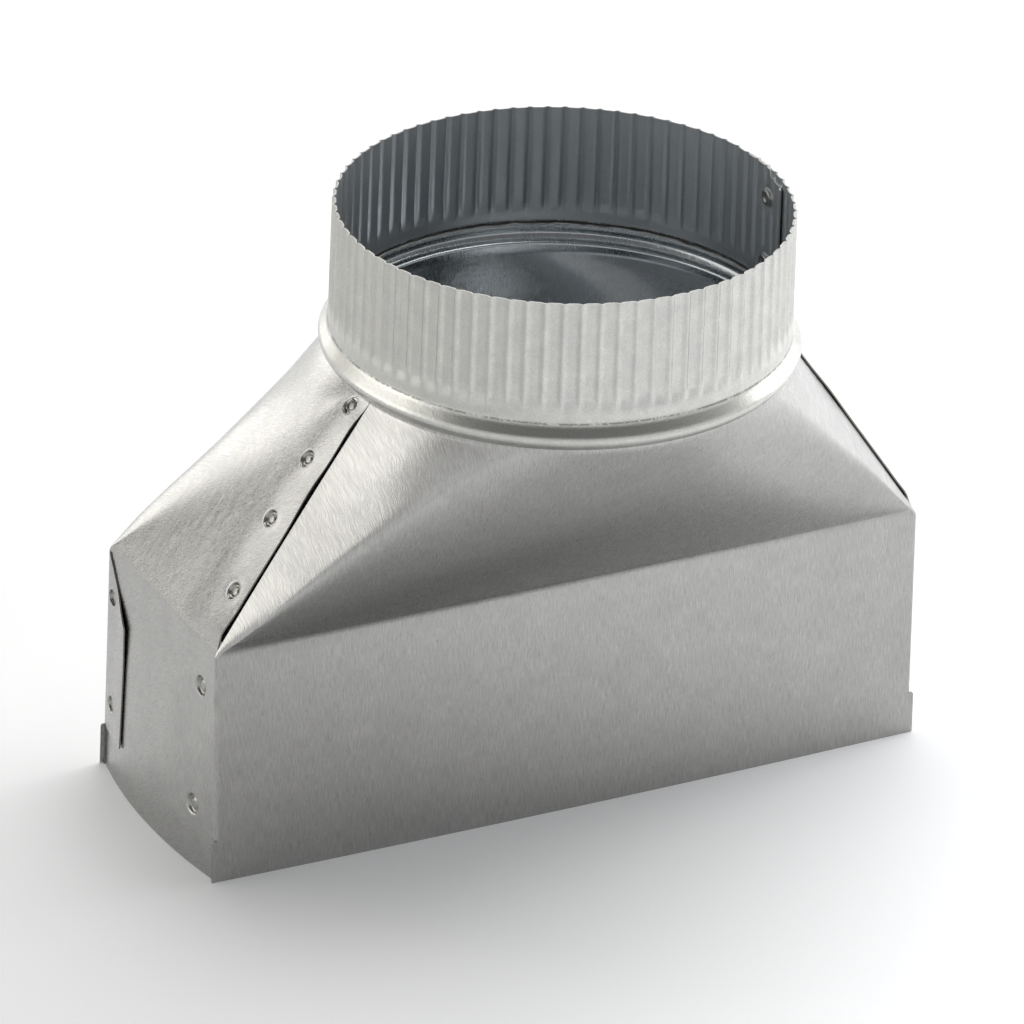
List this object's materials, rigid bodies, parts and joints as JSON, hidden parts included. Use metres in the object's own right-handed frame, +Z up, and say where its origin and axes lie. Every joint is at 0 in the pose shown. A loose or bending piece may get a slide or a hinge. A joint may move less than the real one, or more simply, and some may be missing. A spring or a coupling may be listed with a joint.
{
  "type": "duct transition boot",
  "caption": "Sheet metal duct boot that joins a flat rectangular stack to a round pipe, with folded laps, press joints and a crimped, beaded collar.",
  "frame": {"origin": "centre of the rectangular mouth, in the plane of its open edge", "axes": "+X along the mouth's long side, -Y towards the side the collar leans over, +Z up the collar, away from the mouth"},
  "size_m": [0.267, 0.1584, 0.2138],
  "materials": {
    "body_sheet": "bright galvanised sheet with a fine rolled grain",
    "collar_sheet": "duller galvanised sheet with a fine mottle"
  },
  "bodies": {
    "root": {"front_panel": "body_sheet", "rear_wrap": "body_sheet", "collar": "collar_sheet"}
  },
  "joints": []
}
